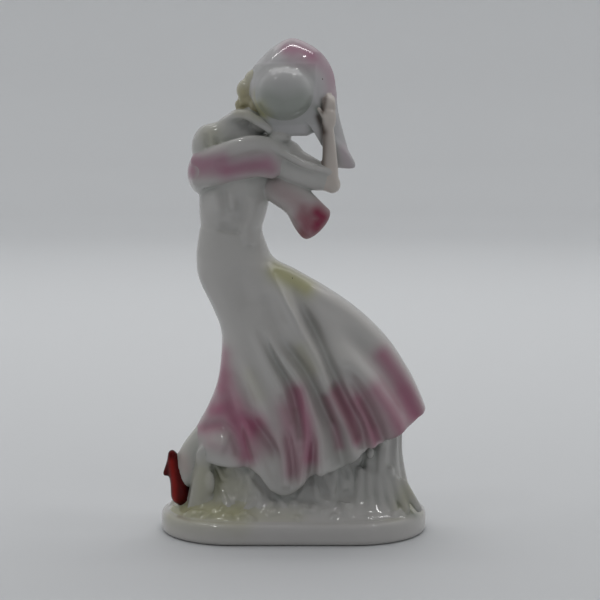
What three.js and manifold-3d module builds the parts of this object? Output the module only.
// A glazed porcelain figurine: a lady in a wind-blown gown holds on to her broad hat, on a stadium plinth.
// It is cast as separate pieces that are luted together before firing, and each casting is one mesh here.
// Millimetres, +Z up. The origin is the middle of the plinth's underside. The figure strides towards +X and
// turns her back to -Y, so her left side is towards -X and her face looks along +Y.

import * as THREE from "three";
import { mergeVertices } from "three/addons/utils/BufferGeometryUtils.js";
import Module from "manifold-3d";

const wasm = await Module();
wasm.setup();

// ---- Driving dimensions ----

const PLINTH = { length: 109, depth: 61, height: 8.7, edge: 1.2 };
const FOOT_RIM = { width: 5, recess: 1.6 };
const VENT = { radius: 3, depth: 6.5, at: [-18, 0] };
const SEAM = 0.3; // clearance between two castings where they are luted together
const SHARPEST = 0.8; // the least cosine between an edge and its faces that the clearance follows
const CLEAN_UP = 0.004; // a surface may move by this where small faces are merged

const WHITE_GLAZE = { color: 0xd9d8d4, roughness: 0.12, metalness: 0 };
const ROSE_GLAZE = { color: 0xc98fa6, roughness: 0.12, metalness: 0 };
const CRIMSON_GLAZE = { color: 0x9c3a58, roughness: 0.12, metalness: 0 };
const RED_GLAZE = { color: 0x8f1510, roughness: 0.15, metalness: 0 };
const STRAW_GLAZE = { color: 0xb3a878, roughness: 0.15, metalness: 0 };
const BISQUE_GLAZE = { color: 0xe2d6cc, roughness: 0.14, metalness: 0 };

// ---- Shape makers ----

/** A smooth curve through rows of [place, value, value, ...]. */
function smoothThrough(rows) {
  const places = rows.map((row) => row[0]);
  const values = rows.flatMap((row) => row.slice(1));
  const curve = new THREE.CubicInterpolant(places, values, rows[0].length - 1);
  return (place) => Array.from(curve.evaluate(place));
}

/** Leaves only positions on a geometry, and joins the vertices that coincide. */
function weld(geometry) {
  geometry.deleteAttribute("normal");
  geometry.deleteAttribute("uv");
  return mergeVertices(geometry, 1e-4);
}

/** A closed skin: a capped cylinder whose rings are placed one by one, from the first ring to the last. */
function loft(sides, rings, place) {
  const skin = weld(new THREE.CylinderGeometry(1, 1, 1, sides, rings - 1));
  const spots = skin.attributes.position;
  for (let i = 0; i < spots.count; i += 1) {
    const across = Math.round(Math.hypot(spots.getX(i), spots.getZ(i)));
    const ring = Math.round((0.5 - spots.getY(i)) * (rings - 1));
    const turn = Math.atan2(spots.getZ(i), spots.getX(i));
    spots.setXYZ(i, ...place(ring, turn, across));
  }
  return skin;
}

/** A cosine or a sine pulled out towards a rounded rectangle; 2 is a plain ellipse. */
function squarer(value, power) {
  return Math.sign(value) * Math.abs(value) ** (2 / power);
}

/** A body of level sections [Z, left, right, back, front], rounded about the X axis. */
function stack(sections, sides, rings, power = 2) {
  const sectionAt = smoothThrough(sections);
  const low = sections[0][0];
  const high = sections.at(-1)[0];
  return loft(sides, rings, (ring, turn, across) => {
    const z = low + ((high - low) * ring) / (rings - 1);
    const [left, right, back, front] = sectionAt(z);
    const x = squarer(Math.cos(turn), power) * across;
    const y = squarer(Math.sin(turn), power) * across;
    const depth = y < 0 ? -back : front;
    return [(left + right) / 2 + (x * (right - left)) / 2, y * depth, z];
  });
}

/** A limb with round ends through rows [share of the way, x, y, z, half width, half depth].
 *  The depth lies as near as it can along the axis called flat. */
function limb(rows, sides = 12, rings = 9, flat = [0, 1, 0]) {
  const at = smoothThrough(rows);
  const spot = (share) => new THREE.Vector3(...at(share).slice(0, 3));
  const length = rows.slice(1).reduce(
    (sum, row, i) => sum + spot(row[0]).distanceTo(spot(rows[i][0])), 0);
  return loft(sides, rings, (ring, turn, across) => {
    const share = (1 - Math.cos((Math.PI * ring) / (rings - 1))) / 2;
    const [x, y, z, halfWidth, halfDepth] = at(share);
    const nearEnd = Math.min(share, 1 - share) * length;
    const roundOff = Math.max(0, 1 - nearEnd / Math.min(halfWidth, halfDepth));
    const size = Math.sqrt(1 - roundOff ** 2) * across + 0.02 * across;
    const along = spot(Math.min(1, share + 0.02)).sub(spot(Math.max(0, share - 0.02))).normalize();
    const depthAxis = new THREE.Vector3(...flat).projectOnPlane(along).normalize();
    const widthAxis = depthAxis.clone().cross(along);
    const point = new THREE.Vector3(x, y, z)
      .addScaledVector(widthAxis, Math.cos(turn) * halfWidth * size)
      .addScaledVector(depthAxis, Math.sin(turn) * halfDepth * size);
    return point.toArray();
  });
}

/** An egg with its middle at a point, and three half sizes. */
function egg(middle, halves, sides = 14, rings = 9) {
  const skin = new THREE.SphereGeometry(1, sides, rings);
  skin.rotateX(Math.PI / 2);
  skin.scale(...halves);
  skin.translate(...middle);
  return weld(skin);
}

// ---- Cutting and joining ----

function solid(skin) {
  return new wasm.Manifold(new wasm.Mesh({
    numProp: 3,
    vertProperties: new Float32Array(skin.attributes.position.array),
    triVerts: new Uint32Array(skin.index.array),
  }));
}

function skinOf(body) {
  const mesh = body.getMesh();
  const skin = new THREE.BufferGeometry();
  skin.setAttribute("position", new THREE.BufferAttribute(mesh.vertProperties, 3));
  skin.setIndex(new THREE.BufferAttribute(mesh.triVerts, 1));
  return skin;
}

/** The same body, larger by the seam's clearance all over: a vertex on a sharp edge moves out further. */
function swollen(body) {
  const skin = skinOf(body);
  skin.computeVertexNormals();
  const { position, normal } = skin.attributes;
  const corners = skin.index.array;
  const vector = (attribute, i) => new THREE.Vector3().fromBufferAttribute(attribute, i);
  const slant = new Float32Array(position.count).fill(1);
  const face = new THREE.Triangle();
  for (let i = 0; i < corners.length; i += 3) {
    face.setFromAttributeAndIndices(position, corners[i], corners[i + 1], corners[i + 2]);
    const facing = face.getNormal(new THREE.Vector3());
    for (const corner of corners.slice(i, i + 3)) {
      slant[corner] = Math.min(slant[corner], facing.dot(vector(normal, corner)));
    }
  }
  for (let i = 0; i < position.count; i += 1) {
    const step = SEAM / Math.max(slant[i], SHARPEST);
    position.setXYZ(i, ...vector(position, i).addScaledVector(vector(normal, i), step).toArray());
  }
  return solid(skin);
}

function joined(...skins) {
  return skins.map(solid).reduce((whole, piece) => whole.add(piece));
}

// ---- Plinth and ground ----

function stadium(length, depth) {
  const radius = depth / 2;
  const straight = length / 2 - radius;
  const outline = new THREE.Shape();
  outline.absarc(straight, 0, radius, -Math.PI / 2, Math.PI / 2);
  outline.absarc(-straight, 0, radius, Math.PI / 2, (3 * Math.PI) / 2);
  return outline;
}

/** The plinth's underside is let in, so that it stands on a narrow rim, with a vent for the kiln. */
function makePlinth() {
  const { length, depth, height, edge } = PLINTH;
  const slab = new THREE.ExtrudeGeometry(stadium(length - 2 * edge, depth - 2 * edge), {
    depth: height - 2 * edge, bevelSize: edge, bevelThickness: edge, bevelSegments: 2, curveSegments: 11,
  });
  slab.translate(0, 0, edge);
  const { width, recess } = FOOT_RIM;
  const hollow = new THREE.ExtrudeGeometry(stadium(length - 2 * width, depth - 2 * width), {
    depth: 2 * recess, bevelEnabled: false, curveSegments: 10,
  });
  hollow.translate(0, 0, -recess);
  const vent = new THREE.CylinderGeometry(VENT.radius, VENT.radius, 2 * VENT.depth, 12);
  vent.rotateX(Math.PI / 2);
  vent.translate(...VENT.at, 0);
  return solid(weld(slab)).subtract(solid(weld(hollow))).subtract(solid(weld(vent)));
}

const GROUND_SECTIONS = [
  [PLINTH.height + SEAM, -50.5, 51, -27, 27],
  [11, -50, 50, -26, 26],
  [13.5, -46, 47.5, -22, 22],
  [16, -40, 45, -18, 18],
];
const BANK_SECTIONS = [
  [13, -33, 27, -15, 16],
  [20, -30, 26, -13, 14],
  [28, -29, 26, -12, 12],
  [46, -24, 27, -11, 11],
];
const STUMP_SECTIONS = [
  [11, 19, 50.5, -16, 14],
  [14, 22, 49, -14, 13],
  [20.5, 24, 47.2, -13, 12],
  [32, 25, 45.2, -12, 11],
  [40, 26, 45, -10, 10],
  [54, 27, 46, -9, 9],
];
const TUFT_ROWS = [
  [0, -37, -8.5, 11, 5.5, 5],
  [0.5, -37.2, -10, 22, 4.2, 3.5],
  [1, -36.6, -10.5, 34, 2.4, 2.2],
];
const FLUTES = { count: 9, depth: 0.05 };

/** The stump's bark stands in upright flutes. */
function makeStump() {
  const stump = stack(STUMP_SECTIONS, 36, 6);
  const spots = stump.attributes.position;
  const middle = (STUMP_SECTIONS[2][1] + STUMP_SECTIONS[2][2]) / 2;
  for (let i = 0; i < spots.count; i += 1) {
    const x = spots.getX(i) - middle;
    const y = spots.getY(i);
    const inset = 1 - FLUTES.depth * (1 + Math.cos(FLUTES.count * Math.atan2(y, x)));
    spots.setXYZ(i, middle + x * inset, y * inset, spots.getZ(i));
  }
  return solid(stump);
}

// ---- Gown ----

// The gown's left and right edges, from the waist down to the hem: [share of the way down, X, Z].
const GOWN_LEFT = smoothThrough([
  [0, -37.8, 124], [0.13, -39.4, 113], [0.25, -38.4, 103.5], [0.38, -33, 91.8], [0.5, -29.6, 82.5],
  [0.62, -29.4, 72], [0.75, -30.6, 59.5], [0.88, -34.6, 48.5], [1, -39.6, 38],
]);
const GOWN_RIGHT = smoothThrough([
  [0, -12.4, 121], [0.1, -8.5, 112.6], [0.22, 0.9, 107.3], [0.38, 15.5, 98.8], [0.52, 27, 90.5],
  [0.66, 38, 79.6], [0.8, 46.4, 67.2], [0.9, 50.8, 58.8], [1, 54.2, 50.4],
]);
// Half the gown's depth from front to back, down the same way.
const GOWN_DEPTH = smoothThrough([
  [0, 9.5], [0.12, 11.5], [0.3, 13], [0.55, 15], [0.8, 18.5], [1, 21.5],
]);
// The height of the hem along X, at the back of the figure and at her front.
const HEM_BACK = smoothThrough([
  [-39.6, 38], [-35.5, 32], [-27, 29.4], [-18, 29.2], [-13, 26], [-8.7, 20.8], [-3.5, 18.8], [1, 20.8],
  [6, 25.8], [13, 28], [21, 30], [30, 37], [39, 39.6], [49.5, 44], [54.2, 50.4],
]);
const HEM_FRONT = smoothThrough([
  [-39.6, 38], [-33, 31], [-24, 26.5], [-14, 28], [-6, 32], [3, 33], [12, 31], [22, 27.5], [32, 31],
  [41, 37], [49.5, 43.5], [54.2, 50.4],
]);
// Pleats on the gown: from [X, Z] to [X, Z], how far they stand out, and their width.
const BACK_PLEATS = [
  { from: [-10, 106], to: [23, 44], rise: 2.2, width: 3.6 },
  { from: [17, 77], to: [44, 45], rise: 2, width: 4 },
  { from: [10, 99], to: [52, 54], rise: 1.6, width: 4 },
  { from: [-8, 78], to: [11, 34], rise: 1.8, width: 3 },
  { from: [-15, 79], to: [-3, 55], rise: 1.3, width: 2.6 },
  { from: [-18, 44], to: [-8, 20], rise: 1.8, width: 3 },
  { from: [4, 44], to: [2, 22], rise: 1.6, width: 2.6 },
  { from: [-24, 50], to: [-24, 31], rise: 1.6, width: 4 },
];
const FRONT_PLEATS = [
  { from: [-18, 100], to: [-24, 28], rise: 2, width: 4 },
  { from: [-8, 100], to: [2, 34], rise: 1.8, width: 4 },
  { from: [-2, 98], to: [22, 29], rise: 2.4, width: 4.5 },
  { from: [6, 96], to: [43, 42], rise: 2, width: 4.5 },
];
const GOWN_RINGS = 14;
const GOWN_UNDERSIDE = [ // how far the underside's rings draw in from the hem, and how far they rise
  { inset: 0.3, rise: 4 },
  { inset: 0.1, rise: 2.6 },
];

function pleatRise(pleats, x, z, down) {
  const spot = new THREE.Vector3(x, 0, z);
  const nearest = new THREE.Vector3();
  let rise = 0;
  for (const { from, to, rise: peak, width } of pleats) {
    const ridge = new THREE.Line3(
      new THREE.Vector3(from[0], 0, from[1]), new THREE.Vector3(to[0], 0, to[1]));
    ridge.closestPointToPoint(spot, true, nearest);
    const fade = Math.min(1, ridge.closestPointToPointParameter(spot, true) * 2 + 0.1);
    rise += peak * fade * Math.exp(-((spot.distanceTo(nearest) / width) ** 2));
  }
  return rise * Math.min(1, down * 2);
}

/** A point of the gown, a share of the way down from the waist, at a turn about its middle line. */
function gownPoint(down, turn) {
  const [leftX, leftZ] = GOWN_LEFT(down);
  const [rightX, rightZ] = GOWN_RIGHT(down);
  const across = (1 + Math.cos(turn)) / 2;
  const x = THREE.MathUtils.lerp(leftX, rightX, across);
  const isBack = Math.sin(turn) < 0;
  const hemX = THREE.MathUtils.lerp(GOWN_LEFT(1)[0], GOWN_RIGHT(1)[0], across);
  const hemLine = THREE.MathUtils.lerp(GOWN_LEFT(1)[1], GOWN_RIGHT(1)[1], across);
  const hem = isBack ? HEM_BACK(hemX)[0] : HEM_FRONT(hemX)[0];
  const z = THREE.MathUtils.lerp(leftZ, rightZ, across) + (hem - hemLine) * down ** 3;
  const pleats = pleatRise(isBack ? BACK_PLEATS : FRONT_PLEATS, x, z, down);
  const y = Math.sin(turn) * (GOWN_DEPTH(down)[0] - 1 + pleats);
  return [x, y, z];
}

function makeGown() {
  const skin = loft(44, GOWN_UNDERSIDE.length + GOWN_RINGS, (ring, turn, across) => {
    const under = GOWN_UNDERSIDE[ring];
    const down = under ? 1 : 1 - (ring - GOWN_UNDERSIDE.length) / (GOWN_RINGS - 1);
    const [leftX, leftZ] = GOWN_LEFT(down);
    const [rightX, rightZ] = GOWN_RIGHT(down);
    const middle = [(leftX + rightX) / 2, 0, (leftZ + rightZ) / 2];
    if (!across) return [middle[0], 0, middle[2] + (under ? under.rise : 0)];
    const [x, y, z] = gownPoint(down, turn);
    if (!under) return [x, y, z];
    return [x + (middle[0] - x) * under.inset, y * (1 - under.inset), z + under.rise];
  });
  return solid(skin);
}

const BODICE_SECTIONS = [
  [117, -38.6, -11.2, -10, 10],
  [124, -37.6, -12.6, -9.3, 9.5],
  [130, -38, -11, -10, 10.5],
  [137, -38, -9.5, -10.5, 12],
  [146, -37, -8.5, -10.5, 13.5],
  [153, -36, -8, -10, 12.5],
  [159, -33.5, -9, -8.5, 10],
  [163, -30, -11.5, -7, 7.5],
  [166, -26.5, -13.5, -5.5, 5.5],
];

// ---- Shawl and bow ----

const SHAWL_BACK_ROWS = [
  [0, -39, -3, 146.5, 3, 7.5],
  [0.25, -33, -8.5, 148.5, 3.2, 8.5],
  [0.5, -24, -11.5, 150.5, 3.4, 10],
  [0.75, -14, -11, 151.5, 3.4, 10],
  [1, -4, -7.5, 148.5, 3, 8.5],
];
const SHAWL_TAIL_ROWS = [
  [0, -11, -5, 143, 6.5, 4],
  [0.35, -5.5, -6.5, 138.5, 6, 3.8],
  [0.65, 1.5, -7.5, 133.5, 6.4, 3.6],
  [1, 11.6, -8, 124, 8, 3.4],
];
const SHAWL_DRAPE = { middle: [-36.4, 1, 146.2], halves: [6.4, 10.5, 9] };
const BOW_LOOPS = [
  { middle: [-20, -6, 168.3], halves: [5.8, 4, 3.5] },
  { middle: [-12.8, -7, 165.8], halves: [4.4, 3.6, 3.2] },
];

// ---- Arms ----

const RIGHT_UPPER_ARM_ROWS = [
  [0, -15, -1, 156, 5.5, 6],
  [0.35, -5, -4, 149.3, 6, 5.6],
  [0.6, 3, -6, 145.2, 5.3, 5.2],
  [0.85, 10.5, -7.5, 142.9, 4.1, 4.3],
  [1, 17, -8, 142.4, 3.9, 4],
];
const RIGHT_FOREARM_ROWS = [
  [0, 14.2, -8, 139.4, 3.8, 3.8],
  [0.3, 14.5, -8.8, 148, 3.2, 3.4],
  [0.6, 14, -9.6, 157, 2.8, 3],
  [1, 13, -10.4, 166, 2.3, 2.4],
];
const RIGHT_HAND_ROWS = [
  [0, 13, -10.2, 164, 2.4, 2.2],
  [0.35, 12.6, -10.8, 168, 3.1, 1.9],
  [0.65, 12.3, -10.2, 172, 2.8, 1.6],
  [1, 12, -9, 177, 1.6, 1.3],
];
const RIGHT_THUMB_ROWS = [
  [0, 12.2, -10.8, 166.5, 1.3, 1.2],
  [1, 9.2, -11, 172.2, 1, 1],
];
const LEFT_SLEEVE = { middle: [-33.4, 0, 156.8], halves: [7.2, 8.5, 9.4] };
const LEFT_FOREARM_ROWS = [
  [0, -37.5, 1, 152, 4, 4],
  [0.3, -38.4, 5.5, 146, 3.8, 3.8],
  [0.6, -33.5, 11.5, 146, 3.2, 3.2],
  [1, -25, 15, 149, 2.4, 2.4],
];
const LEFT_HAND_ROWS = [
  [0, -26.5, 15, 148.5, 2.2, 2],
  [0.45, -22.5, 16, 150, 3, 1.8],
  [1, -17, 15, 152, 2, 1.3],
];
const LEFT_ARM_DEPTH_AXIS = [1, -1, 0];

// ---- Head and hat ----

const HEAD = { middle: [-4.8, 2, 176.4], halves: [7.8, 9.2, 11.6] };
const NOSE = { middle: [-4.4, 10.9, 175], halves: [1.3, 1.8, 2.2] };
const NECK_ROWS = [
  [0, -20, -0.5, 160, 6, 5.5],
  [0.5, -14, 0, 165.5, 4, 4],
  [1, -7, 1, 173, 3.6, 3.8],
];
const HAIR = { middle: [-5.2, 1, 177.4], halves: [10, 9, 12.4] };
const CURLS = { middle: [-17.6, -0.6, 175.9], halves: [6.8, 7.2, 5.6] };
const HAT_BRIM = { root: 10.6, rootY: -9, thickness: 2.4, curl: 1.7 };
const HAT_CROWN = { middle: [-3.8, -10.5, 178.3], halves: [11.2, 6.4, 10.3] };
// The brim's rim, once round: [degrees about the crown, X, Y, Z].
const BRIM_RIM = smoothThrough([
  [0, 17.6, -1, 178], [22, 15.9, 1, 186.5], [44, 11.8, 2.5, 193.2], [66, 5.6, 3, 198],
  [86, -1.2, 3, 200], [104, -7.6, 2.5, 196.8], [124, -13, 1, 190.4], [148, -16.6, -1, 185],
  [172, -17.8, -4, 180.3], [196, -16.2, -6.5, 175.2], [218, -14, -8, 170.5], [238, -11.5, -8.5, 166],
  [256, -7.5, -8.5, 162.6], [275, -1.5, -8, 161.4], [292, 5, -7, 161.2], [304, 11, -5.5, 161],
  [309, 15, -3.5, 157], [313, 18, -2.5, 151.5], [317, 20.6, -2.5, 147.2], [322, 24.2, -2.5, 148.6],
  [330, 21.8, -2, 156.9], [340, 19, -2, 167], [350, 17.8, -1.5, 173.4], [360, 17.6, -1, 178],
]);

/** The crown is a dome with its flat side on the back of the brim. */
function makeCrown() {
  const { middle, halves } = HAT_CROWN;
  const dome = egg([0, 0, 0], halves, 18, 12);
  const spots = dome.attributes.position;
  for (let i = 0; i < spots.count; i += 1) spots.setY(i, Math.min(0, spots.getY(i)));
  dome.translate(...middle);
  return solid(dome);
}

/** The brim is a dished sheet from the crown out to its rim, with a long flap blown down to the right. */
function makeBrim() {
  const sheet = new THREE.SphereGeometry(1, 48, 10);
  const skin = weld(sheet);
  const spots = skin.attributes.position;
  const [crownX, , crownZ] = HAT_CROWN.middle;
  for (let i = 0; i < spots.count; i += 1) {
    const turn = Math.atan2(spots.getZ(i), spots.getX(i));
    const radius = Math.hypot(spots.getX(i), spots.getZ(i));
    const [rimX, rimY, rimZ] = BRIM_RIM((THREE.MathUtils.radToDeg(turn) + 360) % 360);
    const out = radius;
    const x = crownX + HAT_BRIM.root * Math.cos(turn) * Math.min(1, 2 * out);
    const z = crownZ + HAT_BRIM.root * Math.sin(turn) * Math.min(1, 2 * out);
    const spread = Math.max(0, 2 * out - 1);
    const face = Math.sign(spots.getY(i)) * Math.sqrt(Math.max(0, 1 - out ** 6));
    spots.setXYZ(i,
      THREE.MathUtils.lerp(x, rimX, spread),
      THREE.MathUtils.lerp(HAT_BRIM.rootY, rimY, spread ** HAT_BRIM.curl) + (face * HAT_BRIM.thickness) / 2,
      THREE.MathUtils.lerp(z, rimZ, spread));
  }
  return solid(skin);
}

// ---- Legs and shoes ----

const LEFT_LEG_ROWS = [
  [0, -33, -5, 46, 5.6, 5.6],
  [0.35, -39.2, -6.5, 38, 5, 5],
  [0.65, -43.2, -7.5, 31, 4.6, 4.2],
  [1, -44.8, -8, 19, 3, 3],
];
const LEFT_SHOE_ROWS = [
  [0, -49.4, -8, 34, 1.8, 3],
  [0.3, -48.9, -8, 28, 2.4, 3.4],
  [0.6, -46.9, -8, 20.5, 3.4, 4],
  [1, -46.2, -8, 11.8, 3.4, 4],
];
const LEFT_HEEL_ROWS = [
  [0, -48.5, -8, 30.5, 2, 2.2],
  [1, -52.6, -8, 23.4, 1.2, 1.4],
];
const RIGHT_LEG_ROWS = [
  [0, -4, 8, 42, 5.6, 5.6],
  [0.4, 2, 11.5, 30, 4.6, 4.6],
  [0.75, 6.5, 14, 21, 3.2, 3.2],
  [1, 13, 15.8, 15.5, 3, 2.6],
];
const RIGHT_SHOE_ROWS = [
  [0, 4.6, 14.4, 18, 3, 3],
  [0.35, 10, 15.5, 16.2, 3.2, 3.4],
  [0.7, 17, 17, 14.6, 3.8, 2.8],
  [1, 26.5, 18.6, 13, 3, 1.9],
];
const RIGHT_HEEL_ROWS = [
  [0, 7.4, 15, 17, 2, 2],
  [1, 6.2, 14.7, 11, 1.3, 1.3],
];
const UPRIGHT = [0, 0, 1];

// ---- The castings, in the order in which they keep their shape where two meet ----

const castings = [
  ["head", joined(egg(HEAD.middle, HEAD.halves, 16, 12), egg(NOSE.middle, NOSE.halves, 8, 6)), BISQUE_GLAZE],
  ["right_hand", joined(limb(RIGHT_HAND_ROWS, 10, 8), limb(RIGHT_THUMB_ROWS, 8, 6)), BISQUE_GLAZE],
  ["hat_brim", makeBrim(), ROSE_GLAZE],
  ["hat_crown", makeCrown(), WHITE_GLAZE],
  ["right_forearm", solid(limb(RIGHT_FOREARM_ROWS)), BISQUE_GLAZE],
  ["right_upper_arm", solid(limb(RIGHT_UPPER_ARM_ROWS, 12, 11)), WHITE_GLAZE],
  ["neck", solid(limb(NECK_ROWS, 10, 7)), BISQUE_GLAZE],
  ["left_hand", solid(limb(LEFT_HAND_ROWS, 10, 7, UPRIGHT)), BISQUE_GLAZE],
  ["left_forearm", solid(limb(LEFT_FOREARM_ROWS, 10, 9, LEFT_ARM_DEPTH_AXIS)), BISQUE_GLAZE],
  ["nape_bow", joined(...BOW_LOOPS.map(({ middle, halves }) => egg(middle, halves, 12, 7))), WHITE_GLAZE],
  ["hair", joined(egg(HAIR.middle, HAIR.halves, 14, 10), egg(CURLS.middle, CURLS.halves, 10, 7)), STRAW_GLAZE],
  ["left_sleeve", solid(egg(LEFT_SLEEVE.middle, LEFT_SLEEVE.halves)), WHITE_GLAZE],
  ["shawl_back", solid(limb(SHAWL_BACK_ROWS, 14, 11, UPRIGHT)), ROSE_GLAZE],
  ["shawl_drape", solid(egg(SHAWL_DRAPE.middle, SHAWL_DRAPE.halves)), ROSE_GLAZE],
  ["shawl_tail", solid(limb(SHAWL_TAIL_ROWS, 14, 10)), CRIMSON_GLAZE],
  ["bodice", solid(stack(BODICE_SECTIONS, 20, 9)), WHITE_GLAZE],
  ["left_heel", solid(limb(LEFT_HEEL_ROWS, 8, 6)), RED_GLAZE],
  ["left_shoe", solid(limb(LEFT_SHOE_ROWS, 12, 10)), RED_GLAZE],
  ["right_heel", solid(limb(RIGHT_HEEL_ROWS, 8, 6)), RED_GLAZE],
  ["right_shoe", solid(limb(RIGHT_SHOE_ROWS, 12, 9, UPRIGHT)), RED_GLAZE],
  ["left_leg", solid(limb(LEFT_LEG_ROWS, 12, 9)), BISQUE_GLAZE],
  ["right_leg", solid(limb(RIGHT_LEG_ROWS, 10, 8)), BISQUE_GLAZE],
  ["gown_skirt", makeGown(), WHITE_GLAZE],
  ["ground", solid(stack(GROUND_SECTIONS, 32, 4, 2.6)), WHITE_GLAZE],
  ["bank", solid(stack(BANK_SECTIONS, 16, 5)), WHITE_GLAZE],
  ["stump", makeStump(), WHITE_GLAZE],
  ["grass_tuft", solid(limb(TUFT_ROWS, 8, 7)), WHITE_GLAZE],
  ["plinth", makePlinth(), WHITE_GLAZE],
];

function overlaps(one, other) {
  const a = one.boundingBox();
  const b = other.boundingBox();
  return [0, 1, 2].every((i) => a.min[i] < b.max[i] && b.min[i] < a.max[i]);
}

/** Cuts a casting back from those already placed, and keeps its largest part. */
function fitted(body, placed) {
  let left = body;
  for (const other of placed) if (overlaps(left, other)) left = left.subtract(other);
  const parts = left.simplify(CLEAN_UP).decompose();
  return parts.sort((a, b) => b.volume() - a.volume())[0];
}

const figurine = new THREE.Group();
const placed = [];
for (const [name, casting, glaze] of castings) {
  const body = fitted(casting, placed);
  placed.push(swollen(body).add(body));
  const mesh = new THREE.Mesh(skinOf(body), new THREE.MeshStandardMaterial(glaze));
  mesh.name = name;
  figurine.add(mesh);
}

export default figurine;
